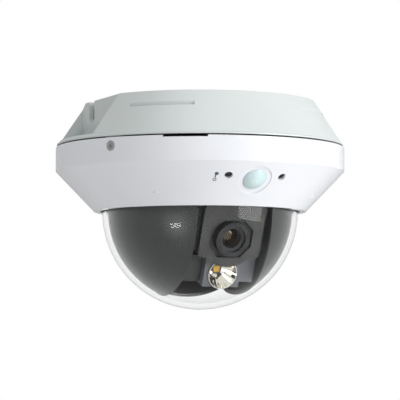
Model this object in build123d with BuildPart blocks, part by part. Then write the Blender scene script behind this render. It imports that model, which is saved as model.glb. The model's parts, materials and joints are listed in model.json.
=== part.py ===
"""Ceiling dome camera with pan, tilt, zoom, focus and day/night filter.

Millimetres, +Z up.  The origin is the centre of the face that lies on the ceiling, the
device hangs below it, and its motion lens faces -Y.
"""
import os
from math import atan, cos, pi, radians, sin, sqrt

from build123d import *

os.makedirs("parts", exist_ok=True)

# ---- driving dimensions -------------------------------------------------------------
clearance = 0.3          # between pieces that pass or sit beside each other
fit = 0.05               # radial clearance of a shaft or screw in its hole
wall = 2.4               # moulded walls of base and cover

base_top_r = 60.5        # base cone at the ceiling
base_low_r = 75.4        # base cone at the seam
base_h = 23.3
seam_gap = 0.8
cover_r = 76.0
band_h = 12.6            # upright band of the cover
slope_h = 21.0
cover_mouth_r = 55.8
lip_t = 1.8

dome_r = 51.5
dome_t = 2.0
dome_gap = 1.0           # between dome and cover lip

plate_r = 52.3
plate_t = 1.6
plate_hole_r = 13.0
ceiling_pitch_r = 39.0
ceiling_hole_r = 2.25
flange_t = 2.2
flange_in_r = 44.0

notch_wall_x = -55.0
notch_front_y = -24.0
notch_back_y = 29.8
notch_ledge = 2.2        # height of the ledge above the base's lower edge
slot_y = 16.0
slot_w = 7.0
slot_depth = 11.8

bar_w = 34.0
bar_top = 4.2
bar_low = 8.0
bar_depth = 1.3
bar_turns = (41.5, -41.5, 138.5, -138.5)
pry_turn = 29.5
pry_w = 22.5
pry_h = 0.9

screw_drop = 5.0         # cover screws below the seam
screw_turns = (60, 180, 300)
motion_drop = 22.3       # motion lens below the seam
motion_lens_r = 6.25
motion_dish_r = 9.0
pilot_turn = 12.2
pilot_r = 2.1

deck_top = -26.0         # chassis plate
deck_t = 2.0
deck_r = 58.0
post_ring_r = 50.0
post_turns = (-90, 30, 150)
board_r = 44.0
board_top = -10.0
board_t = 1.6

shaft_r = 6.0
shaft_bore_r = 4.2
race_in_r = 7.6
race_out_r = 9.2
bearing_r = 11.0
bearing_h = 4.0

gear_module = 0.8
pan_teeth = 90
pan_pinion_teeth = 15
tilt_teeth = 40
tilt_pinion_teeth = 12
gear_t = 3.0
backlash = 0.16

table_r = 46.0
table_t = 2.2
liner_r = 48.4
liner_t = 1.6
liner_slot_half = 20.8
liner_slot_back = 18.0
arm_x = 21.2
arm_t = 2.4
arm_half_y = 9.0

tilt_rest = 22.0         # optical axis below level at rest
tilt_pinion_turn = 30.0  # tilt pinion behind the axis, above level
case_half_w = 16.0
case_low = -10.0
case_high = 16.0
case_back = -9.0
bezel_back = 39.0
bezel_t = 3.0
bezel_half_w = 16.9
bezel_high = 17.3
bezel_low = -10.6
bulge_r = 15.5
collar_r = 9.0
ring_r = 6.9
glass_r = 5.2
barrel_r = 8.2
barrel_in_r = 7.0
barrel_back = 1.0
pin_r = 2.5
lamp_drop = 20.5
lamp_r = 7.9
lamp_front = 39.0
lamp_depth = 9.0

# ---- places worked out from them ------------------------------------------------------
seam_z = -base_h
cover_top = seam_z - seam_gap
band_low = cover_top - band_h
cover_low = band_low - slope_h
dome_z = cover_low + 0.2
slope_len = sqrt((cover_r - cover_mouth_r) ** 2 + slope_h ** 2)
slope_out = slope_h / slope_len              # outward share of the slope's normal
slope_down = (cover_r - cover_mouth_r) / slope_len
flange_top = -plate_t
deck_low = deck_top - deck_t
board_low = board_top - board_t
bearing_low = deck_low - 3.0
gear_low = bearing_low - 1.0 - gear_t
table_low = gear_low - table_t
pan_r = gear_module * pan_teeth / 2
pan_pinion_r = gear_module * pan_pinion_teeth / 2
tilt_r = gear_module * tilt_teeth / 2
tilt_pinion_r = gear_module * tilt_pinion_teeth / 2
pan_pinion_y = pan_r + pan_pinion_r
tilt_reach = tilt_r + tilt_pinion_r
tilt_pinion_y = tilt_reach * cos(radians(tilt_pinion_turn))
tilt_pinion_z = dome_z + tilt_reach * sin(radians(tilt_pinion_turn))
gear_x = arm_x + arm_t + 0.6
lip_top = cover_low + lip_t
gasket_t = 2.0
rim_low = lip_top + gasket_t
rim_t = 1.6
retainer_low = rim_low + rim_t
retainer_top = retainer_low + 9.5
retainer_screw_r = 60.0
optic = Plane(origin=(0, 0, dome_z), x_dir=(1, 0, 0),
              z_dir=(0, -cos(radians(tilt_rest)), -sin(radians(tilt_rest))))


def slope_r(z):
    """Outer radius of the cover's slope at height z."""
    return cover_r - (band_low - z) * (cover_r - cover_mouth_r) / slope_h


def turned(turn):
    """Direction at a turn from the front, positive towards +X, as a vector."""
    return Vector(sin(radians(turn)), -cos(radians(turn)), 0)


def slope_plane(turn, z):
    """Plane lying on the cover's slope, z_dir outwards, local y up the slope."""
    out = turned(turn)
    side = Vector(cos(radians(turn)), sin(radians(turn)), 0)
    normal = out * slope_out + Vector(0, 0, -slope_down)
    return Plane(origin=out * slope_r(z) + Vector(0, 0, z), x_dir=side, z_dir=normal)


def side_plane(turn, radius, z):
    """Upright plane facing outwards at a turn, a radius and a height."""
    out = turned(turn)
    return Plane(origin=out * radius + Vector(0, 0, z), x_dir=(cos(radians(turn)), sin(radians(turn)), 0),
                 z_dir=out)


def ring(plane, outer, inner, height):
    """A flat ring raised from a plane along its normal."""
    with BuildPart() as made:
        with BuildSketch(plane):
            Circle(outer)
            if inner:
                Circle(inner, mode=Mode.SUBTRACT)
        extrude(amount=height)
    return made.part


def block(plane, x0, x1, y0, y1, z0, z1):
    """A box between two corners given in a plane's own directions."""
    with BuildPart() as made:
        with BuildSketch(plane.offset(z0)):
            with Locations(((x0 + x1) / 2, (y0 + y1) / 2)):
                Rectangle(x1 - x0, y1 - y0)
        extrude(amount=z1 - z0)
    return made.part


def crowned_disc(plane, radius, low, edge, crown):
    """A disc whose front is part of a sphere, from a low face to its edge and crown."""
    ball = (radius ** 2 + crown ** 2) / (2 * crown)
    with BuildPart() as made:
        add(ring(plane.offset(low), radius, 0, edge - low + crown))
        with BuildPart(plane.offset(edge + crown - ball), mode=Mode.PRIVATE) as whole:
            Sphere(ball)
        add(whole.part, mode=Mode.INTERSECT)
    return made.part


def involute_angle(base, radius):
    """Angle of the involute of a base circle where it reaches a radius."""
    t = sqrt(max((radius / base) ** 2 - 1, 0))
    return t - atan(t)


def gear_outline(teeth, phase):
    """Points of a spur gear with involute flanks, a tooth centred at phase radians."""
    pitch = gear_module * teeth / 2
    base = pitch * cos(radians(20))
    tip = pitch + gear_module * 0.95
    root = pitch - gear_module * 1.2
    half = pi / (2 * teeth) - backlash / (2 * pitch) / 2
    start = max(base, root)
    radii = [start + (tip - start) * k / 3 for k in range(4)]
    rise = involute_angle(base, pitch)
    flank = [(r, half - involute_angle(base, r) + rise) for r in radii]
    points = []
    for tooth in range(teeth):
        mid = phase + 2 * pi * tooth / teeth
        sides = [(root, -flank[0][1])] if start > root else []
        sides += [(r, -a) for r, a in flank]
        sides += [(r, a) for r, a in reversed(flank)]
        sides += [(root, flank[0][1])] if start > root else []
        points += [(r * cos(mid + a), r * sin(mid + a)) for r, a in sides]
    return points


def spur_gear(plane, teeth, phase, bore, height):
    """A spur gear raised from a plane, with a round bore."""
    with BuildPart() as made:
        with BuildSketch(plane):
            with BuildLine():
                Polyline(*gear_outline(teeth, phase), close=True)
            make_face()
            if bore:
                Circle(bore, mode=Mode.SUBTRACT)
        extrude(amount=height)
    return made.part


def save_group(name, *pieces):
    """Write several separate solids as one named node."""
    save(Compound(children=list(pieces)), name)


def save(piece, name):
    """Label a finished piece and write its STEP file."""
    piece.label = name
    export_step(piece, f"parts/{name}.step")


# ---- ceiling plate and base ------------------------------------------------------------
with BuildPart() as mount_plate:
    with BuildSketch(Plane.XY.offset(-plate_t)):
        Circle(plate_r)
        Circle(plate_hole_r, mode=Mode.SUBTRACT)
        with PolarLocations(ceiling_pitch_r, 4, start_angle=45):
            Circle(ceiling_hole_r, mode=Mode.SUBTRACT)
        with PolarLocations((flange_in_r + plate_r) / 2, 3, start_angle=90):
            Circle(1.5 + fit, mode=Mode.SUBTRACT)
    extrude(amount=plate_t)
save(mount_plate.part, "mount_plate")

with BuildPart() as base_shell:
    with BuildSketch(Plane.XZ):
        with BuildLine():
            Polyline((0, 0), (base_top_r, 0), (base_low_r - 0.9, seam_z + 1.2), (base_low_r, seam_z + 0.8),
                     (base_low_r, seam_z), (0, seam_z), close=True)
        make_face()
    revolve(axis=Axis.Z)
    with BuildSketch(Plane.XZ):
        with BuildLine():
            Polyline((0, flange_top - flange_t), (base_top_r - wall * 0.6 + 0.6, flange_top - flange_t),
                     (base_low_r - 0.9 - wall, seam_z + 1.2), (base_low_r - 0.9 - wall, seam_z - 1),
                     (0, seam_z - 1), close=True)
        make_face()
    revolve(axis=Axis.Z, mode=Mode.SUBTRACT)
    with BuildSketch(Plane.XY):
        Circle(flange_in_r)
    extrude(amount=-20, mode=Mode.SUBTRACT)
    with BuildSketch(Plane.XY):
        Circle(plate_r + fit)
    extrude(amount=flange_top, mode=Mode.SUBTRACT)
with BuildPart() as notch_block:
    with BuildSketch(Plane.XZ):
        with BuildLine():
            Polyline((0, 0), (base_top_r, 0), (base_low_r - 0.9, seam_z + 1.2),
                     (base_low_r - 0.9, seam_z), (0, seam_z), close=True)
        make_face()
    revolve(axis=Axis.Z)
    add(block(Plane.XY, -90, notch_wall_x + wall, notch_front_y - wall, notch_back_y + wall, seam_z, 0),
        mode=Mode.INTERSECT)
with BuildPart() as base_whole:
    add(base_shell.part)
    add(notch_block.part)
    with BuildSketch(Plane.XY):
        with Locations((notch_wall_x - 20, (notch_front_y + notch_back_y) / 2)):
            Rectangle(40, notch_back_y - notch_front_y)
    extrude(amount=seam_z + notch_ledge, mode=Mode.SUBTRACT)
    slot_plane = Plane(origin=(notch_wall_x - 1, slot_y, 0), x_dir=(0, 1, 0), z_dir=(1, 0, 0))
    with BuildSketch(slot_plane):
        with Locations((0, -slot_depth + slot_w / 2)):
            Circle(slot_w / 2)
        with Locations((0, -(slot_depth - slot_w / 2) / 2 + 1)):
            Rectangle(slot_w, slot_depth - slot_w / 2 + 2)
    extrude(amount=8, mode=Mode.SUBTRACT)
    for bar_turn in bar_turns:
        bar_z = -(bar_top + bar_low) / 2
        bar_r = base_top_r + bar_low * (base_low_r - base_top_r) / base_h - bar_depth
        bar_tool = block(side_plane(bar_turn, 0, bar_z), -bar_w / 2, bar_w / 2,
                         -(bar_low - bar_top) / 2, (bar_low - bar_top) / 2, 40, 80)
        bar_core = ring(Plane.XY.offset(-bar_low - 1), bar_r, 0, bar_low + 1)
        add(bar_tool - bar_core, mode=Mode.SUBTRACT)
    for screw_turn in screw_turns:
        lug = block(side_plane(screw_turn, 0, seam_z - screw_drop), -5, 5, -5, 8, 66, cover_r - wall - 0.2)
        add(lug)
    for screw_turn in screw_turns:
        add(ring(side_plane(screw_turn, 60, seam_z - screw_drop), 1.5 + fit, 0, 20), mode=Mode.SUBTRACT)
    with PolarLocations((flange_in_r + plate_r) / 2, 3, start_angle=90):
        Cylinder(1.5 + fit, 20, mode=Mode.SUBTRACT)
save(base_whole.part, "base_shell")

with BuildPart() as base_screws:
    with PolarLocations((flange_in_r + plate_r) / 2, 3, start_angle=90):
        with Locations((0, 0, flange_top - flange_t - 0.9)):
            Cylinder(2.8, 1.8)
        with Locations((0, 0, (flange_top - flange_t - 0.2) / 2)):
            Cylinder(1.5, flange_t + plate_t - 0.2)
save(base_screws.part, "base_screws")

# ---- cover ring --------------------------------------------------------------------------
in_r = cover_r - wall
step = wall * (1 - slope_down) / slope_out      # where the inner slope leaves the inner band
with BuildPart() as cover:
    with BuildSketch(Plane.XZ):
        with BuildLine():
            Polyline((in_r, cover_top), (cover_r - 0.4, cover_top), (cover_r, cover_top - 0.4),
                     (cover_r, band_low), (cover_mouth_r, cover_low), (dome_r + dome_gap, cover_low),
                     (dome_r + dome_gap, lip_top), (slope_r(lip_top) - wall / slope_out, lip_top),
                     (in_r, band_low + step), close=True)
        make_face()
    revolve(axis=Axis.Z)
    for screw_turn in screw_turns:
        add(ring(side_plane(screw_turn, 70, seam_z - screw_drop), 1.5 + fit, 0, 9), mode=Mode.SUBTRACT)
        add(ring(side_plane(screw_turn, cover_r - 1.5, seam_z - screw_drop), 2.6, 0, 5), mode=Mode.SUBTRACT)
    motion_plane = slope_plane(0, seam_z - motion_drop)
    for post_x in (-9.5, 9.5):
        add(ring(motion_plane.offset(-7.5), 1.8, 0, 6).moved(Location()).move(
            Location(motion_plane.x_dir * post_x + motion_plane.y_dir * 2)))
    add(ring(motion_plane.offset(-0.7), motion_dish_r, 0, 3), mode=Mode.SUBTRACT)
    add(ring(motion_plane.offset(-5), motion_lens_r + fit, 0, 9), mode=Mode.SUBTRACT)
    for pilot in (-pilot_turn, pilot_turn):
        pilot_plane = slope_plane(pilot, seam_z - motion_drop + 2.0)
        add(ring(pilot_plane.offset(-5), pilot_r, 0, 9), mode=Mode.SUBTRACT)
    add(block(side_plane(-pry_turn, 0, cover_top), -pry_w / 2, pry_w / 2, -pry_h, 2, 60, 90),
        mode=Mode.SUBTRACT)
    for turn in (45, 135, 225, 315):
        with Locations((retainer_screw_r * cos(radians(turn)), retainer_screw_r * sin(radians(turn)),
                        retainer_top - 5.3)):
            Cylinder(2.4, 7)
    for turn in (45, 135, 225, 315):
        with Locations((retainer_screw_r * cos(radians(turn)), retainer_screw_r * sin(radians(turn)),
                        retainer_top - 2.8)):
            Cylinder(1.2 + fit, 7, mode=Mode.SUBTRACT)
save(cover.part, "cover")

with BuildPart() as cover_screws:
    for screw_turn in screw_turns:
        add(ring(side_plane(screw_turn, 67, seam_z - screw_drop), 1.5, 0, cover_r - 1.4 - 67))
        add(ring(side_plane(screw_turn, cover_r - 1.4, seam_z - screw_drop), 2.5, 0, 1.2))
    for screw_turn in screw_turns:
        with BuildSketch(side_plane(screw_turn, cover_r - 1.1, seam_z - screw_drop)):
            RegularPolygon(1.1, 6)
        extrude(amount=2, mode=Mode.SUBTRACT)
save(cover_screws.part, "cover_screws")

# ---- motion sensor and its neighbours -----------------------------------------------------
save(crowned_disc(motion_plane, motion_lens_r, -1.6, -0.5, 2.5), "motion_lens")
save_group("motion_board", ring(motion_plane.offset(-7.5), 4.6, 0, 5.6),
           block(motion_plane, -19, 19, -6, 6, -8.7, -7.5))
with BuildPart() as pilot_parts:
    for pilot in (-pilot_turn, pilot_turn):
        add(ring(slope_plane(pilot, seam_z - motion_drop + 2.0).offset(-5.9), pilot_r - 0.1, 0, 4.6))
save(pilot_parts.part, "status_pilots")

# ---- dome, gasket and retainer --------------------------------------------------------------
with BuildPart() as dome:
    with BuildSketch(Plane.XZ):
        with BuildLine():
            outer = CenterArc((0, dome_z), dome_r, -90, 90)
            inner = CenterArc((0, dome_z), dome_r - dome_t, -90, 90)
            Line(outer @ 0, inner @ 0)
            Polyline(outer @ 1, (dome_r, rim_low), (dome_r + 4.0, rim_low), (dome_r + 4.0, rim_low + rim_t),
                     (dome_r - dome_t, rim_low + rim_t), inner @ 1)
        make_face()
    revolve(axis=Axis.Z)
save(dome.part, "dome")
save(ring(Plane.XY.offset(lip_top), dome_r + 2.4, dome_r + 0.3, gasket_t), "dome_gasket")

with BuildPart() as dome_retainer:
    with BuildSketch(Plane.XZ):
        hoop_r = dome_r - dome_t + 1.0
        with BuildLine():
            Polyline((hoop_r, retainer_low), (hoop_r + 2, retainer_low), (hoop_r + 2, retainer_top - 1.8),
                     (64.0, retainer_top - 1.8), (64.0, retainer_top), (hoop_r, retainer_top), close=True)
        make_face()
    revolve(axis=Axis.Z)
    add(block(Plane.XY, -24, 24, -80, -hoop_r - 2, retainer_low, retainer_top + 5), mode=Mode.SUBTRACT)
    with PolarLocations(retainer_screw_r, 4, start_angle=45):
        with Locations((0, 0, retainer_top)):
            Cylinder(1.2 + fit, 9, mode=Mode.SUBTRACT)
save(dome_retainer.part, "dome_retainer")

with BuildPart() as retainer_screws:
    with PolarLocations(retainer_screw_r, 4, start_angle=45):
        with Locations((0, 0, retainer_top + 0.7)):
            Cylinder(2.2, 1.4)
        with Locations((0, 0, retainer_top - 2.5)):
            Cylinder(1.2, 5)

# ---- chassis plate with what it carries -------------------------------------------------------
motor_y = pan_pinion_y
standoffs = ((0, -38), (35, 18), (-16, 30))
with BuildPart() as chassis_plate:
    with BuildSketch(Plane.XY.offset(deck_low)):
        Circle(deck_r)
        Circle(bearing_r, mode=Mode.SUBTRACT)
        with Locations((0, motor_y)):
            Circle(3.0, mode=Mode.SUBTRACT)
        with Locations(*[(post_ring_r * cos(radians(t)), post_ring_r * sin(radians(t))) for t in post_turns]):
            Circle(1.5 + fit, mode=Mode.SUBTRACT)
    extrude(amount=deck_t)
    add(ring(Plane.XY.offset(bearing_low), bearing_r + 3, bearing_r, deck_low - bearing_low))
    add(ring(Plane.XY.offset(bearing_low - 0.6), bearing_r + 3, race_out_r + 0.5, 0.6))
save(chassis_plate.part, "chassis_plate")

with BuildPart() as chassis_posts:
    post_top = flange_top - flange_t
    with PolarLocations(post_ring_r, 3, start_angle=30):
        with Locations((0, 0, (post_top + deck_top) / 2)):
            Cylinder(3.5, post_top - deck_top)
        with Locations((0, 0, deck_top)):
            Cylinder(1.5 + fit, 16, mode=Mode.SUBTRACT)
save(chassis_posts.part, "chassis_posts")

with BuildPart() as chassis_screws:
    with PolarLocations(post_ring_r, 3, start_angle=30):
        with Locations((0, 0, deck_low - 0.8)):
            Cylinder(2.7, 1.6)
        with Locations((0, 0, deck_low + 3.5)):
            Cylinder(1.5, 7)
save_group("inner_screws", retainer_screws.part, chassis_screws.part)

with BuildPart() as board_standoffs:
    with Locations(*[(x, y, (deck_top + board_low) / 2) for x, y in standoffs]):
        Cylinder(2.5, board_low - deck_top)
save(board_standoffs.part, "board_standoffs")
save(ring(Plane.XY.offset(board_low), board_r, 0, board_t), "main_board")

with BuildPart() as network_jack:
    add(block(Plane.XY, -44, -29, 3, 19, board_low - 13.4, board_low))
    add(block(Plane.XY, -46, -33, 5, 17, board_low - 10.5, board_low - 3.0), mode=Mode.SUBTRACT)
save(network_jack.part, "network_jack")

with BuildPart() as power_jack:
    add(block(Plane.XY, -43, -32, -10, -1, board_low - 10.5, board_low))
    add(ring(Plane(origin=(-45, -5.5, board_low - 5.5), x_dir=(0, 1, 0), z_dir=(1, 0, 0)), 2.9, 1.0, 10),
        mode=Mode.SUBTRACT)
save(power_jack.part, "power_jack")

with BuildPart() as heat_sink:
    add(block(Plane.XY, 10.5, 27.5, -19.5, -2.5, board_low - 3.4, board_low - 1.4))
    for row in range(6):
        fin_x = 10.5 + row * 3.2
        add(block(Plane.XY, fin_x, fin_x + 1, -19.5, -2.5, board_low - 9, board_low - 3.4))
save(heat_sink.part, "heat_sink")
save_group("board_components", block(Plane.XY, 12, 26, -18, -4, board_low - 1.4, board_low),
           block(Plane.XY, -26, -10, -34, -26, board_low - 8, board_low),
           block(Plane.XY, 26, 40, -1, 13, board_low - 2.0, board_low))
save(block(Plane.XY, 28, 42.5, 0.5, 11.5, board_low - 2.9, board_low - 2.1), "memory_card")

button_xy = (22, -28)
with BuildPart() as reset_switch:
    with Locations((*button_xy, board_low - 1.75)):
        Box(6, 6, 3.5)
    with Locations((*button_xy, board_low - 2.7)):
        Cylinder(1.85, 2.4, mode=Mode.SUBTRACT)
save(reset_switch.part, "reset_switch")
with BuildPart() as reset_button:
    with Locations((*button_xy, board_low - 4.2)):
        Cylinder(1.75, 4.2)
save(reset_button.part, "reset_button")

with BuildPart() as pan_motor:
    with Locations((0, motor_y, deck_top + 6.5)):
        Cylinder(10, 13)
    with Locations((0, motor_y, deck_top - 1.25)):
        Cylinder(2.7, 2.6)
    with Locations((0, motor_y, deck_top)):
        Cylinder(1.2 + fit, 9, mode=Mode.SUBTRACT)
save(pan_motor.part, "pan_motor")

with BuildPart() as slip_ring:
    add(ring(Plane.XY.offset(deck_top), bearing_r + 3, race_out_r, 1.5))
    add(ring(Plane.XY.offset(deck_top + 1.5), race_out_r + 1.6, shaft_r + clearance, 9.5))
save(slip_ring.part, "slip_ring")

save(ring(Plane.XY.offset(bearing_low), bearing_r, race_out_r, bearing_h), "bearing_outer_race")
ball_r = (race_out_r - race_in_r) / 2 - fit
with BuildPart() as bearing_balls:
    with PolarLocations((race_in_r + race_out_r) / 2, 16):
        with Locations((0, 0, bearing_low + bearing_h / 2)):
            Sphere(ball_r)
save(bearing_balls.part, "bearing_balls")

# ---- turning stage ------------------------------------------------------------------------------
save(ring(Plane.XY.offset(bearing_low), race_in_r, shaft_r, bearing_h), "bearing_inner_race")
with BuildPart() as pan_shaft:
    add(ring(Plane.XY.offset(table_low - 1.4), shaft_r, shaft_bore_r, deck_top + 9 - table_low + 1.4))
    add(ring(Plane.XY.offset(table_low - 1.4), 9, shaft_bore_r, 1.4))
save_group("pan_shaft", pan_shaft.part,
           ring(Plane.XY.offset(bearing_low + bearing_h), race_in_r - 0.2, shaft_r, 0.8))
save(spur_gear(Plane.XY.offset(gear_low), pan_teeth, pi / 2, 30, gear_t), "pan_gear")
save(ring(Plane.XY.offset(table_low), table_r, shaft_r, table_t), "turntable")

pinion_plane = Plane(origin=(0, pan_pinion_y, gear_low), x_dir=(1, 0, 0), z_dir=(0, 0, 1))
with BuildPart() as pan_pinion:
    add(spur_gear(pinion_plane, pan_pinion_teeth, -pi / 2 + pi / pan_pinion_teeth, 0, gear_t))
    add(ring(pinion_plane.offset(gear_t), 1.2, 0, deck_top + 3 - gear_low - gear_t))
save(pan_pinion.part, "pan_pinion")

bushes = []
for side, name in ((-1, "left"), (1, "right")):
    low, high = sorted((side * arm_x, side * (arm_x + arm_t)))
    with BuildPart() as arm:
        add(block(Plane.XY, low, high, -arm_half_y, arm_half_y, dome_z, table_low))
        add(ring(Plane(origin=(low, 0, dome_z), x_dir=(0, 1, 0), z_dir=(1, 0, 0)), arm_half_y, 0, arm_t))
        add(ring(Plane(origin=(low - 1, 0, dome_z), x_dir=(0, 1, 0), z_dir=(1, 0, 0)), 4.0, 0, arm_t + 2),
            mode=Mode.SUBTRACT)
        if side > 0:
            add(block(Plane.XY, low, high, arm_half_y - 1, tilt_pinion_y + 10, tilt_pinion_z - 10, table_low))
            add(ring(Plane(origin=(low - 1, tilt_pinion_y, tilt_pinion_z), x_dir=(0, 1, 0), z_dir=(1, 0, 0)),
                     1.6, 0, arm_t + 2), mode=Mode.SUBTRACT)
        foot = sorted((side * (arm_x + arm_t - 0.2), side * (arm_x + arm_t + 8)))
        add(block(Plane.XY, foot[0], foot[1], -arm_half_y, -1, table_low - 1.6, table_low))
    save(arm.part, f"yoke_{name}")
    bushes.append(ring(Plane(origin=(low - 0.2, 0, dome_z), x_dir=(0, 1, 0), z_dir=(1, 0, 0)),
                       4.0, pin_r + fit, arm_t + 0.4))

save_group("tilt_bushes", *bushes)

with BuildPart() as yoke_screws:
    with Locations(*[(s * (arm_x + arm_t + 5), -5, table_low - 2.3) for s in (-1, 1)]):
        Cylinder(2.2, 1.4)

liner_top = table_low
with BuildPart() as liner:
    with BuildSketch(Plane.XZ):
        with BuildLine():
            outer = CenterArc((0, dome_z), liner_r, -90, 90)
            inner = CenterArc((0, dome_z), liner_r - liner_t, -90, 90)
            Line(outer @ 0, inner @ 0)
            Polyline(outer @ 1, (liner_r, liner_top), (liner_r - 6.5, liner_top), (liner_r - 6.5, liner_top - 1.6),
                     (liner_r - liner_t, liner_top - 1.6), inner @ 1)
        make_face()
    revolve(axis=Axis.Z)
    add(block(Plane.XY, -liner_slot_half, liner_slot_half, -60, 0, -120, liner_top - 1.6), mode=Mode.SUBTRACT)
    add(block(Plane.XY, -liner_slot_half, liner_slot_half, -1, liner_slot_back, -120, dome_z - 20),
        mode=Mode.SUBTRACT)
save(liner.part, "liner")
with BuildPart() as liner_screws:
    with PolarLocations(liner_r - 4.3, 4, start_angle=45):
        with Locations((0, 0, liner_top - 2.3)):
            Cylinder(1.9, 1.4)
save_group("stage_screws", yoke_screws.part, liner_screws.part)

motor_plane = Plane(origin=(gear_x + gear_t + 0.6, tilt_pinion_y, tilt_pinion_z), x_dir=(0, 1, 0), z_dir=(1, 0, 0))
with BuildPart() as tilt_motor:
    add(ring(motor_plane, 6.0, 0, 7.4))
    for post_side in (-1, 1):
        place = motor_plane.offset(-(gear_x + gear_t + 0.6 - arm_x - arm_t))
        away = radians(tilt_pinion_turn + 90)
        shift = Vector(0, cos(away), sin(away)) * (7.6 * post_side)
        spot = Plane(origin=place.origin + shift, x_dir=(0, 1, 0), z_dir=(1, 0, 0))
        add(ring(spot, 1.2, 0, gear_x + gear_t + 0.6 - arm_x - arm_t + 1.4))
        ear = Plane(origin=motor_plane.origin + shift * 0.7, x_dir=(0, cos(away), sin(away)), z_dir=(1, 0, 0))
        add(block(ear, -4, 4, -1.6, 1.6, 0, 1.4))
    add(ring(motor_plane.offset(-1), 1.0 + fit, 0, 5), mode=Mode.SUBTRACT)
save(tilt_motor.part, "tilt_motor")

gear_plane = Plane(origin=(gear_x, 0, dome_z), x_dir=(0, 1, 0), z_dir=(1, 0, 0))
mesh_turn = radians(tilt_pinion_turn)
small_plane = Plane(origin=(gear_x, tilt_pinion_y, tilt_pinion_z), x_dir=(0, 1, 0), z_dir=(1, 0, 0))
save(spur_gear(gear_plane, tilt_teeth, mesh_turn, pin_r, gear_t - 0.6), "tilt_gear")
with BuildPart() as tilt_pinion:
    add(spur_gear(small_plane, tilt_pinion_teeth, mesh_turn + pi + pi / tilt_pinion_teeth, 0, gear_t - 0.6))
    add(ring(small_plane.offset(-2.2), 1.0, 0, gear_t + 5.5))
save(tilt_pinion.part, "tilt_pinion")

# ---- tilting camera ---------------------------------------------------------------------------------
with BuildPart() as module_case:
    add(block(optic, -case_half_w, case_half_w, case_low, case_high, case_back, bezel_back - 2))
    add(block(optic, -19.2, 19.2, -8, 15.5, bezel_back - 2, bezel_back))
    add(block(optic, -case_half_w + 2, case_half_w - 2, case_low + 1.6, case_high - 2, case_back + 2, 60),
        mode=Mode.SUBTRACT)
save(module_case.part, "module_case")

with BuildPart() as pins:
    for side in (-1, 1):
        plane = Plane(origin=(side * case_half_w, 0, dome_z), x_dir=(0, side, 0), z_dir=(side, 0, 0))
        add(ring(plane, 6.0, 0, arm_x - case_half_w - 0.5))
        add(ring(plane, pin_r, 0, gear_x + gear_t - 0.6 - case_half_w))
save(pins.part, "trunnion_pins")

with BuildPart() as front_bezel:
    with BuildSketch(optic.offset(bezel_back)):
        with Locations((0, (bezel_high + bezel_low) / 2)):
            RectangleRounded(2 * bezel_half_w, bezel_high - bezel_low, 2.2)
        Circle(bulge_r)
        Circle(collar_r + 0.4, mode=Mode.SUBTRACT)
        with Locations((13.2, 11.3)):
            Circle(1.5, mode=Mode.SUBTRACT)
    extrude(amount=bezel_t)
    with BuildSketch(optic.offset(bezel_back + 1.2)):
        with BuildLine():
            Polyline((-6.4, 9.3), (6.4, 9.3), (11.6, 4.3), (11.6, -4.3), (6.4, -10.3), (-6.4, -10.3),
                     (-11.6, -4.3), (-11.6, 4.3), close=True)
        make_face()
    extrude(amount=4, mode=Mode.SUBTRACT)
save(front_bezel.part, "front_bezel")
save(ring(optic.offset(bezel_back), 1.4, 0, 2).moved(Location(optic.x_dir * 13.2 + optic.y_dir * 11.3)),
     "light_sensor")

with BuildPart() as lens_barrel:
    add(ring(optic.offset(barrel_back), barrel_r, barrel_in_r, bezel_back - 1 - barrel_back))
    add(block(optic, -case_half_w + 2.2, case_half_w - 2.2, case_low + 1.8, case_high - 2.2,
              bezel_back - 3, bezel_back - 1))
    add(ring(optic.offset(bezel_back - 6), barrel_in_r, 0, 8), mode=Mode.SUBTRACT)
save(lens_barrel.part, "lens_barrel")
save(ring(optic.offset(bezel_back - 1), collar_r, ring_r + 0.1, 6.5), "lens_collar")
save(ring(optic.offset(bezel_back - 1), ring_r, glass_r, 4.6), "lens_ring")
save(crowned_disc(optic, glass_r, bezel_back - 3.2, bezel_back - 1.6, 2.0), "front_glass")

rod_x = 5.9
for name, low, thick in (("zoom_group", 16, 6), ("focus_group", 4, 4)):
    with BuildPart() as group:
        add(ring(optic.offset(low), barrel_in_r - 0.1, 0, thick))
        for side in (-1, 1):
            add(ring(optic.offset(low - 1), 0.55, 0, thick + 2).moved(Location(optic.x_dir * (side * rod_x))),
                mode=Mode.SUBTRACT)
    save(group.part, name)
with BuildPart() as guide_rods:
    for side in (-1, 1):
        add(ring(optic.offset(barrel_back), 0.5, 0, 33.5).moved(Location(optic.x_dir * (side * rod_x))))
save(guide_rods.part, "guide_rods")
save(block(optic, -5, 5, -5, 5, barrel_back - 1.5, barrel_back - 0.7), "ir_filter")
with BuildPart() as filter_frame:
    add(block(optic, -case_half_w + 2.2, case_half_w - 2.2, -7.5, 8, barrel_back - 3, barrel_back - 1.8))
    add(block(optic, -4, 4, -4, 4, barrel_back - 4, barrel_back), mode=Mode.SUBTRACT)
save(filter_frame.part, "filter_frame")
save_group("sensor_board", block(optic, -case_half_w + 2.2, case_half_w - 2.2, -8, 13, case_back + 2.2, case_back + 3.6),
           block(optic, -4.5, 4.5, -3.5, 3.5, case_back + 3.6, case_back + 5))

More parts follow.
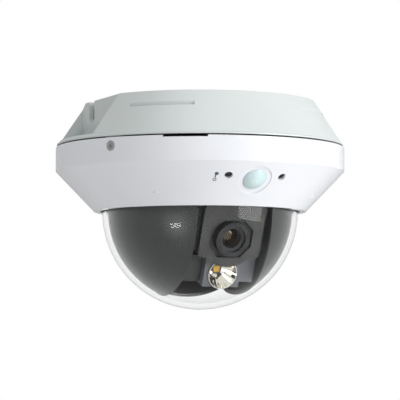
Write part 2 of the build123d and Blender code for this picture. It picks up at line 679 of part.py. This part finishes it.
# ---- lamp under the lens --------------------------------------------------------------------------------
with BuildPart() as lamp_housing:
    add(block(optic, -10, 10, -27.5, -12.0, 20, 38))
    add(block(optic, -8, 8, -12.0, case_low, 20, 34))
    add(ring(optic.offset(lamp_front - lamp_depth), lamp_r + 0.1, 0, 20).moved(
        Location(optic.y_dir * -lamp_drop)), mode=Mode.SUBTRACT)
save(lamp_housing.part, "lamp_housing")
with BuildPart() as lamp_reflector:
    with BuildSketch(Plane.XZ):
        with BuildLine():
            Polyline((2.6, 0), (3.4, 0), (6.8, 3.4), (lamp_r, lamp_depth), (lamp_r - 0.6, lamp_depth),
                     (6.1, 3.8), (2.6, 0.6), close=True)
        make_face()
    revolve(axis=Axis.Z)
lamp_place = Plane(origin=optic.origin + optic.z_dir * (lamp_front - lamp_depth) - optic.y_dir * lamp_drop,
                   x_dir=optic.x_dir, z_dir=optic.z_dir)
save(lamp_reflector.part.moved(lamp_place.location), "lamp_reflector")
save(block(lamp_place, -1.6, 1.6, -1.6, 1.6, 0, 1.2), "lamp_chip")
save(block(optic, -10.3 - 9.9, -10.3, -26, -12, 22, 34.5), "cheek_left")
save(block(optic, 10.3, 10.3 + 9.0, -26, -12, 22, 34.5), "cheek_right")
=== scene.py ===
"""Ceiling dome camera: finishes, new surfaces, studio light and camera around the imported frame."""
import json
from math import cos, pi, radians, sin

import bpy
import numpy as np
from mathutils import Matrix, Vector


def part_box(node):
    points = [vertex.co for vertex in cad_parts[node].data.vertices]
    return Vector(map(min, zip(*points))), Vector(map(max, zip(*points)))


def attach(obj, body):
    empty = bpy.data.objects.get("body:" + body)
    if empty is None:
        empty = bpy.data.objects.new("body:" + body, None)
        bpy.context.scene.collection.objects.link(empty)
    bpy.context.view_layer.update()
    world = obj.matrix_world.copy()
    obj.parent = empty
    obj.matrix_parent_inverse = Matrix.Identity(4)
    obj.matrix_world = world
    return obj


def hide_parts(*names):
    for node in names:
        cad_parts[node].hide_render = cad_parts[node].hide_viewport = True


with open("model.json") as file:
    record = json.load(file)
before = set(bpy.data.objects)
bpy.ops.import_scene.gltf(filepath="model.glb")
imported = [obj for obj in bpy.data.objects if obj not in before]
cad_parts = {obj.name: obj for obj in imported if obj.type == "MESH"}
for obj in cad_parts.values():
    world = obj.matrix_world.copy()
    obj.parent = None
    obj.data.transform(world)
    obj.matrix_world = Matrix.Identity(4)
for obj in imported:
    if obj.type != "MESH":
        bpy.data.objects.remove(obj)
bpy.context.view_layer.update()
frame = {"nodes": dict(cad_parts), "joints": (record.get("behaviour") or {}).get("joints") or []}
nodes = frame["nodes"]
MM = 0.001

# Sizes of the real pieces that the frame does not give by itself.
seal_reach = 2.4 * MM          # the dome seal stands this far outside the bubble
dome_wall = 2.0 * MM
dome_flange = 1.6 * MM
band_h = 12.6 * MM             # upright band of the cover
slope_in, slope_h = 20.2, 21.0  # the slope runs in by this much over this height, in millimetres
liner_r = 48.4 * MM
slot_half = 20.8 * MM
lamp_drop, lamp_back, lamp_depth = 20.5 * MM, 30.0 * MM, 9.0 * MM

# ---- places read from the frame -------------------------------------------------------------
low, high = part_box("dome")
dome_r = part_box("dome_gasket")[1].x - seal_reach
dome_z = low.z + dome_r
cover_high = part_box("cover")[1]
cover_r = cover_high.x
tilt_joint = next(j for j in frame["joints"] if j["name"] == "tilt")
optic_axis = np.array(next(j for j in frame["joints"] if j["name"] == "zoom")["axis"], float)
optic_side = np.array([1.0, 0.0, 0.0])
optic_up = np.cross(optic_axis, optic_side)
optic_origin = np.array(tilt_joint["pos_m"], float)


def on_optic(w, m, a):
    """Points given across, above and along the optical axis, as places in the frame."""
    w, m, a = np.broadcast_arrays(w, m, a)
    return (optic_origin + w[..., None] * optic_side + m[..., None] * optic_up + a[..., None] * optic_axis)


# ---- colours and node helper ---------------------------------------------------------------------
def paint(code):
    """An sRGB hex colour as linear red, green, blue and full alpha."""
    parts = [int(code[i:i + 2], 16) / 255 for i in (1, 3, 5)]
    return [c / 12.92 if c <= 0.04045 else ((c + 0.055) / 1.055) ** 2.4 for c in parts] + [1.0]


def node(tree, kind, settings=None, **inputs):
    """Adds one node, sets its properties and its inputs, and links inputs that are sockets."""
    made = tree.nodes.new(kind)
    for key, value in (settings or {}).items():
        setattr(made, key, value)
    for key, value in inputs.items():
        socket = made.inputs[int(key[1:])] if key[0] == "i" and key[1:].isdigit() else made.inputs[
            key.replace("_", " ")]
        if isinstance(value, bpy.types.NodeSocket):
            tree.links.new(value, socket)
        else:
            socket.default_value = value
    return made


def finish_for(name, colour, second=None, patch=8.0, grain=0.0, grain_mm=0.3, rough=0.5, rough_spread=0.06,
               **shader):
    """A moulded or metal finish: two close colours in soft patches, uneven gloss and a fine grain in relief.

    patch is the size of the colour patches and grain_mm that of the grain, in millimetres.
    """
    material = bpy.data.materials.new(name)
    material.use_nodes = True
    tree = material.node_tree
    body = tree.nodes["Principled BSDF"]
    place = node(tree, "ShaderNodeTexCoord").outputs["Object"]
    cloud = node(tree, "ShaderNodeTexNoise", Vector=place, Scale=1 / (patch * MM), Detail=4.0)
    tint = node(tree, "ShaderNodeMix", {"data_type": "RGBA"}, Factor=cloud.outputs["Fac"])
    tint.inputs[6].default_value = paint(colour)
    tint.inputs[7].default_value = paint(second or colour)
    tree.links.new(tint.outputs[2], body.inputs["Base Color"])
    fine = node(tree, "ShaderNodeTexNoise", Vector=place, Scale=1 / (grain_mm * MM), Detail=2.0)
    gloss = node(tree, "ShaderNodeMapRange", Value=fine.outputs["Fac"])
    gloss.inputs["To Min"].default_value = max(rough - rough_spread, 0.02)
    gloss.inputs["To Max"].default_value = rough + rough_spread
    tree.links.new(gloss.outputs["Result"], body.inputs["Roughness"])
    if grain:
        relief = node(tree, "ShaderNodeBump", Height=fine.outputs["Fac"], Strength=grain,
                      Distance=grain_mm * MM * 0.5)
        tree.links.new(relief.outputs["Normal"], body.inputs["Normal"])
    for key, value in shader.items():
        body.inputs[key.replace("_", " ")].default_value = value
    return material


# Powder-coated zinc casting: even pale grey-green, a very fine orange peel and low gloss.
powder_coat = finish_for("powder_coated_zinc", "#c3c9c8", "#c9cfce", 30, 0.10, 0.5, 0.42)
# Injection-moulded white ABS, polished tool: smooth, glossy, bluish white.
white_abs = finish_for("moulded_white_abs", "#dcdee2", "#e0e2e6", 40, 0.0, 0.8, 0.13, 0.03, Coat_Weight=0.3,
                       Coat_Roughness=0.04)
# Moulded black ABS of the turning liner: dark grey with soft gloss.
black_liner = finish_for("moulded_black_abs", "#1d1f1f", "#222424", 20, 0.03, 0.3, 0.33)
# Spark-eroded black nylon: a coarse glittering grain, about 0.35 mm, drawn as coarse as it shows.
spark_black = finish_for("spark_eroded_black_nylon", "#1b1b1a", "#2b2b29", 0.5, 0.9, 0.35, 0.5, 0.2)
# Plain black nylon of inner mouldings: matte and even. On the left cheek it is painted shade, standing in for a
# grey moulding like the right cheek.
black_nylon = finish_for("black_nylon", "#151515", "#1b1b1b", 5, 0.1, 0.25, 0.45)
# Grey glass-filled nylon of frames and lamp block: mid grey, matte, slightly mottled.
grey_nylon = finish_for("grey_glass_filled_nylon", "#4a4c50", "#585a5e", 4, 0.15, 0.25, 0.45)
# Zinc-plated steel: cool light grey metal with fine rolled unevenness.
zinc_steel = finish_for("zinc_plated_steel", "#a9abab", "#b6b7b5", 3, 0.06, 0.2, 0.32, Metallic=1.0)
# Black anodised aluminium of the lens collar: dark, satin, with fine turning marks.
black_anodised = finish_for("black_anodised_aluminium", "#2a2b2d", "#303134", 2, 0.1, 0.12, 0.28, Metallic=0.6)
# Vacuum-metallised chrome of the lamp reflector: bright and nearly a mirror.
chrome = finish_for("vacuum_metallised_chrome", "#f2f0ea", "#e9e6dd", 2, 0.0, 0.3, 0.07, 0.02, Metallic=1.0)
# Milky polyethylene motion lens: soft white that lets some light in.
milky_film = finish_for("milky_polyethylene", "#d5d6d3", "#dfe0dd", 2, 0.35, 0.9, 0.3, Subsurface_Weight=0.4)
# Nitrile rubber of the dome seal: near black and dull.
nitrile = finish_for("nitrile_rubber", "#101010", "#161616", 2, 0.1, 0.2, 0.7)
# Glass-epoxy circuit board with green solder resist: dark green, satin.
board_green = finish_for("green_solder_resist", "#0f3d23", "#155030", 6, 0.15, 0.5, 0.35)
# Acetal gears and bushes: ivory white and waxy.
acetal = finish_for("white_acetal", "#deddd4", "#e6e5dd", 4, 0.02, 0.3, 0.4)
# Yellow phosphor of the lamp's chip.
phosphor = finish_for("yellow_phosphor", "#c9a545", "#b5862a", 0.6, 0.1, 0.2, 0.5)
# Black screen ink of the pilot sign: flat dark grey.
sign_ink = finish_for("dark_screen_ink", "#4a4e55", "#50545b", 1, 0.0, 0.2, 0.5)


def clear_finish(name, colour, ior, rough, shadow):
    """A clear moulding: refracts, and lets lamp light through instead of casting a dark shadow."""
    material = bpy.data.materials.new(name)
    material.use_nodes = True
    tree = material.node_tree
    body = tree.nodes["Principled BSDF"]
    body.inputs["Base Color"].default_value = paint(colour)
    body.inputs["IOR"].default_value = ior
    body.inputs["Transmission Weight"].default_value = 1.0
    place = node(tree, "ShaderNodeTexCoord").outputs["Object"]
    haze = node(tree, "ShaderNodeTexNoise", Vector=place, Scale=60.0)
    gloss = node(tree, "ShaderNodeMapRange", Value=haze.outputs["Fac"])
    gloss.inputs["To Min"].default_value = rough
    gloss.inputs["To Max"].default_value = rough + 0.01
    tree.links.new(gloss.outputs["Result"], body.inputs["Roughness"])
    through = node(tree, "ShaderNodeBsdfTransparent", Color=paint(shadow))
    path = node(tree, "ShaderNodeLightPath")
    both = node(tree, "ShaderNodeMixShader", i0=path.outputs["Is Shadow Ray"], i1=body.outputs[0],
                i2=through.outputs[0])
    tree.links.new(both.outputs[0], tree.nodes["Material Output"].inputs["Surface"])
    return material


# Optical polycarbonate of the bubble: clear, very smooth, with a weak reflection.
polycarbonate = clear_finish("optical_polycarbonate", "#fbfcfc", 1.18, 0.0, "#f2f4f4")
# Coated optical glass: deep amber and green in the reflection of its coating.
coated_glass = finish_for("coated_optical_glass", "#231004", "#0d130a", 3, 0.0, 1.0, 0.04, 0.01, Coat_Weight=1.0,
                          Coat_Tint=paint("#f0c878"))

finishes = {
    powder_coat: ["base_shell"], white_abs: ["cover"], black_liner: ["liner"], spark_black: ["front_bezel"],
    # cheek_left gets black nylon as painted shade: it is the same grey moulding as cheek_right, drawn dark where
    # shade falls on it.
    black_nylon: ["module_case", "lens_barrel", "lens_ring", "cheek_left", "board_components", "zoom_group",
                  "focus_group", "reset_button", "power_jack", "memory_card", "status_pilots"],
    grey_nylon: ["dome_retainer", "chassis_plate", "turntable", "yoke_left", "yoke_right", "slip_ring",
                 "lamp_housing", "cheek_right", "filter_frame"],
    zinc_steel: ["mount_plate", "base_screws", "cover_screws", "inner_screws", "stage_screws", "pan_shaft",
                 "bearing_inner_race", "bearing_outer_race", "bearing_balls", "board_standoffs",
                 "chassis_posts", "guide_rods", "trunnion_pins", "pan_motor", "tilt_motor", "network_jack",
                 "reset_switch"],
    black_anodised: ["lens_collar", "heat_sink"], milky_film: ["motion_lens"], nitrile: ["dome_gasket"],
    board_green: ["motion_board", "main_board", "sensor_board"], phosphor: ["lamp_chip"],
    acetal: ["pan_gear", "pan_pinion", "tilt_gear", "tilt_pinion", "tilt_bushes"],
    coated_glass: ["front_glass", "light_sensor", "ir_filter"], polycarbonate: ["dome"],
    chrome: ["lamp_reflector"],
}


def smooth_group():
    """Node group that joins a node's loose triangles and shades it smooth up to its real edges."""
    group = bpy.data.node_groups.new("smooth_up_to_edges", "GeometryNodeTree")
    group.interface.new_socket("Geometry", in_out="INPUT", socket_type="NodeSocketGeometry")
    group.interface.new_socket("Geometry", in_out="OUTPUT", socket_type="NodeSocketGeometry")
    start = group.nodes.new("NodeGroupInput")
    end = group.nodes.new("NodeGroupOutput")
    joined = node(group, "GeometryNodeMergeByDistance", Geometry=start.outputs[0], Distance=2e-6)
    soft = node(group, "GeometryNodeSetShadeSmooth", {"domain": "FACE"}, Geometry=joined.outputs[0])
    turn = node(group, "GeometryNodeInputMeshEdgeAngle")
    sharp = node(group, "FunctionNodeCompare", {"operation": "GREATER_THAN"}, i0=turn.outputs[0],
                 i1=radians(28))
    edged = node(group, "GeometryNodeSetShadeSmooth", {"domain": "EDGE"}, Geometry=soft.outputs[0],
                 Selection=sharp.outputs[0])
    edged.inputs["Shade Smooth"].default_value = False
    group.links.new(edged.outputs[0], end.inputs[0])
    return group


smooth = smooth_group()
for material, names in finishes.items():
    for name in names:
        piece = nodes[name]
        piece.data.materials.clear()
        piece.data.materials.append(material)
        piece.modifiers.new("smooth", "NODES").node_group = smooth


# ---- new surfaces -----------------------------------------------------------------------------------
def surface(name, points, material, body, replaces=(), flip=False):
    """A grid of points, rows by columns, as a mesh that rides on a body; columns close into a ring."""
    rows, columns = points.shape[:2]
    index = np.arange(rows * columns).reshape(rows, columns)
    nxt = np.roll(index, -1, axis=1)
    quads = np.stack([index[:-1], nxt[:-1], nxt[1:], index[1:]], axis=-1)
    quads = quads.reshape(-1, 4)
    if flip:
        quads = quads[:, ::-1]
    mesh = bpy.data.meshes.new(name)
    mesh.from_pydata(points.reshape(-1, 3).tolist(), [], quads.tolist())
    mesh.materials.append(material)
    mesh.polygons.foreach_set("use_smooth", np.ones(len(quads), bool))
    mesh.validate()
    made = bpy.data.objects.new(name, mesh)
    bpy.context.scene.collection.objects.link(made)
    joiner = made.modifiers.new("join", "WELD")
    joiner.merge_threshold = 1e-6
    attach(made, body)
    if replaces:
        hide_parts(*replaces)
    return made


def lathe(outline, turns):
    """Rings of points: each outline point (radius, height) carried round the Z axis."""
    radius, height = np.array(outline, float).T
    return np.stack([radius[:, None] * np.cos(turns), radius[:, None] * np.sin(turns),
                     height[:, None] * np.ones_like(turns)], axis=-1)


# The bubble: outer hemisphere from the pole to the equator, its flange, and the inner hemisphere back.
turns = np.linspace(0, 2 * pi, 160, endpoint=False)
arc = np.linspace(0, pi / 2, 40)
outer_line = np.stack([dome_r * np.sin(arc), dome_z - dome_r * np.cos(arc)], axis=-1)
inner_line = np.stack([(dome_r - dome_wall) * np.sin(arc), dome_z - (dome_r - dome_wall) * np.cos(arc)], axis=-1)
rim_z = high.z - dome_flange
flange = [(dome_r, rim_z), (high.x, rim_z), (high.x, high.z), (dome_r - dome_wall, high.z)]
bubble_line = np.concatenate([outer_line, flange, inner_line[::-1]])
bubble = surface("bubble", lathe(bubble_line, turns), polycarbonate, "root", ("dome",))

# The lamp reflector: a bowl whose radius grows with depth, cut into flat facets round and along it.
reflector_low, reflector_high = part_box("lamp_reflector")
lamp_r = (reflector_high.x - reflector_low.x) / 2
facets = 18
facet_turn = np.linspace(0, 2 * pi, facets, endpoint=False)
depth = np.linspace(0, 1, 6)
bowl_r = lamp_r * (0.36 + 0.6 * np.sqrt(depth))
inside = np.stack([bowl_r, lamp_back + 0.8 * MM + depth * (lamp_depth - 0.8 * MM)], axis=-1)
rim = [(lamp_r, lamp_back + lamp_depth), (lamp_r, lamp_back + lamp_depth - 0.8 * MM),
       (lamp_r * 0.4, lamp_back + 0.1 * MM), (bowl_r[0], lamp_back + 0.1 * MM), tuple(inside[0])]
line = np.concatenate([inside, rim])
spin = np.broadcast_to(facet_turn, (len(line), facets))
reflector = surface("faceted_reflector",
                    on_optic(line[:, :1] * np.cos(spin), line[:, :1] * np.sin(spin) - lamp_drop,
                             line[:, 1:] * np.ones_like(spin)),
                    chrome, "tilt", ("lamp_reflector",))
reflector.data.polygons.foreach_set("use_smooth", np.zeros(len(reflector.data.polygons), bool))


# ---- pilot sign: a filled dot and an open ring joined by a short bar, left of the left pilot hole ---
band_low = cover_high.z - band_h
slope_normal = np.array([slope_h, -slope_in]) / np.hypot(slope_in, slope_h)
slope_rise = 0.721              # height gained for each millimetre up the slope
sign_r = 69.0                   # radius of the cover where the sign is


def on_slope(turn, height, lift):
    """Points on the cover's slope at turns from the front and heights, lifted off by a small distance."""
    reach = (band_low - height) * slope_in / slope_h
    radius = cover_r - reach + lift * slope_normal[0]
    z = height + lift * slope_normal[1]
    turn, radius, z = np.broadcast_arrays(turn, radius, z)
    return np.stack([np.sin(turn) * radius, -np.cos(turn) * radius, z], axis=-1)


def sign_ring(name, turn_deg, height, inner, outer):
    """A flat inked ring on the slope between two radii, closed to a thin film."""
    around = np.linspace(0, 2 * pi, 32, endpoint=False)
    sizes = np.array([inner, outer, outer, inner, inner])[:, None]
    lifts = np.array([0.04, 0.04, 0.01, 0.01, 0.04])[:, None] * MM
    at = radians(turn_deg) + sizes * np.cos(around) / (sign_r * MM)
    points = on_slope(at, height + sizes * np.sin(around) * slope_rise, lifts * np.ones_like(around))
    return surface(name, points, sign_ink, "root", flip=True)


sign_ring("pilot_dot", -17.2, -42.9 * MM, 0.02 * MM, 1.0 * MM)
sign_ring("pilot_ring", -17.9, -45.6 * MM, 0.6 * MM, 1.0 * MM)
bar_rows = np.array([[-17.55, -43.6], [-17.7, -44.7]])
bar_side = np.array([-0.3, 0.3, 0.3, -0.3]) / sign_r
bar_lift = np.array([0.04, 0.04, 0.01, 0.01]) * MM
surface("pilot_bar", on_slope(np.radians(bar_rows[:, :1]) + bar_side, bar_rows[:, 1:] * MM, bar_lift), sign_ink,
        "root")

# A thin round bead along each edge of the liner's slot: a tube carried along a circle.
tube = 0.28 * MM
edge_turn = np.linspace(radians(2), radians(108), 80)
edge_r = np.sqrt(liner_r ** 2 - slot_half ** 2)
for side, name in ((-1, "left"), (1, "right")):
    ring_turn = np.linspace(0, 2 * pi, 8, endpoint=False)
    reach = (edge_r + tube * np.cos(ring_turn))[None, :]
    y = -reach * np.cos(edge_turn)[:, None]
    z = dome_z - reach * np.sin(edge_turn)[:, None]
    x = side * (slot_half + tube * np.sin(ring_turn))[None, :] * np.ones_like(y)
    surface(f"slot_edge_{name}", np.stack([x, y, z], axis=-1), black_liner, "pan")


# ---- studio -----------------------------------------------------------------------------------------------
def lamp(name, place, aim, size, power, colour="#ffffff"):
    """A square soft light that faces a point."""
    data = bpy.data.lights.new(name, "AREA")
    data.size, data.energy, data.color = size, power, paint(colour)[:3]
    made = bpy.data.objects.new(name, data)
    bpy.context.scene.collection.objects.link(made)
    made.location = place
    made.rotation_euler = (Vector(aim) - Vector(place)).to_track_quat("-Z", "Y").to_euler()
    return made


shot = radians(-24.0)
reach, eye_z, aim_z = 1.119, -0.128, -0.0513
view_right = Vector((cos(shot), sin(shot), 0))
view_back = Vector((sin(shot), -cos(shot), 0))
lamp("key_right", view_right * 0.9 + view_back * 0.5 + Vector((0, 0, 0.05)), (0, 0, -0.05), 0.6, 9.0)
lamp("front_left", view_right * -0.5 + view_back * 0.9 + Vector((0, 0, -0.45)), (0, 0, -0.06), 0.22, 2.0)
lamp("top", view_back * 0.3 + Vector((0, 0, 0.9)), (0, 0, -0.03), 0.8, 3.0)

camera = bpy.data.objects.new("camera", bpy.data.cameras.new("camera"))
bpy.context.scene.collection.objects.link(camera)
camera.location = view_back * reach + Vector((0, 0, eye_z))
camera.rotation_euler = (Vector((0, 0, aim_z)) - camera.location).to_track_quat("-Z", "Y").to_euler()
camera.data.lens = 191.5       # millimetres, on a 36 mm sensor
camera.data.sensor_width = 36.0
bpy.context.scene.camera = camera

world = bpy.data.worlds.new("studio")
bpy.context.scene.world = world
world.use_nodes = True
sky = world.node_tree
path = node(sky, "ShaderNodeLightPath")
seen = node(sky, "ShaderNodeMath", {"operation": "MAXIMUM"}, i0=path.outputs["Is Camera Ray"],
            i1=path.outputs["Is Transmission Ray"])
bright = node(sky, "ShaderNodeMapRange", Value=seen.outputs[0])
bright.inputs["To Min"].default_value = 0.55
bright.inputs["To Max"].default_value = 1.0
sky.nodes["Background"].inputs["Color"].default_value = (1, 1, 1, 1)
sky.links.new(bright.outputs["Result"], sky.nodes["Background"].inputs["Strength"])

floor_z = -0.45
floor_white = 0.97             # share of plain white that the floor shows
floor_mesh = bpy.data.meshes.new("floor")
edge = 6.0
floor_mesh.from_pydata([(-edge, -edge, floor_z), (edge, -edge, floor_z), (edge, edge, floor_z),
                        (-edge, edge, floor_z)], [], [(0, 1, 2, 3)])
floor = bpy.data.objects.new("floor", floor_mesh)
bpy.context.scene.collection.objects.link(floor)
floor_paint = bpy.data.materials.new("white_floor_paint")
floor_paint.use_nodes = True
tree = floor_paint.node_tree
board = tree.nodes["Principled BSDF"]
board.inputs["Base Color"].default_value = paint("#e8e8e8")
floor_path = node(tree, "ShaderNodeLightPath")
white = node(tree, "ShaderNodeEmission", Color=(1, 1, 1, 1), Strength=1.0)
shown = node(tree, "ShaderNodeMath", {"operation": "MAXIMUM"}, i0=floor_path.outputs["Is Camera Ray"],
             i1=floor_path.outputs["Is Transmission Ray"])
part_white = node(tree, "ShaderNodeMath", {"operation": "MULTIPLY"}, i0=shown.outputs[0], i1=floor_white)
mixed = node(tree, "ShaderNodeMixShader", i0=part_white.outputs[0], i1=board.outputs[0], i2=white.outputs[0])
tree.links.new(mixed.outputs[0], tree.nodes["Material Output"].inputs["Surface"])
floor_mesh.materials.append(floor_paint)

bpy.context.scene.view_settings.view_transform = "Standard"
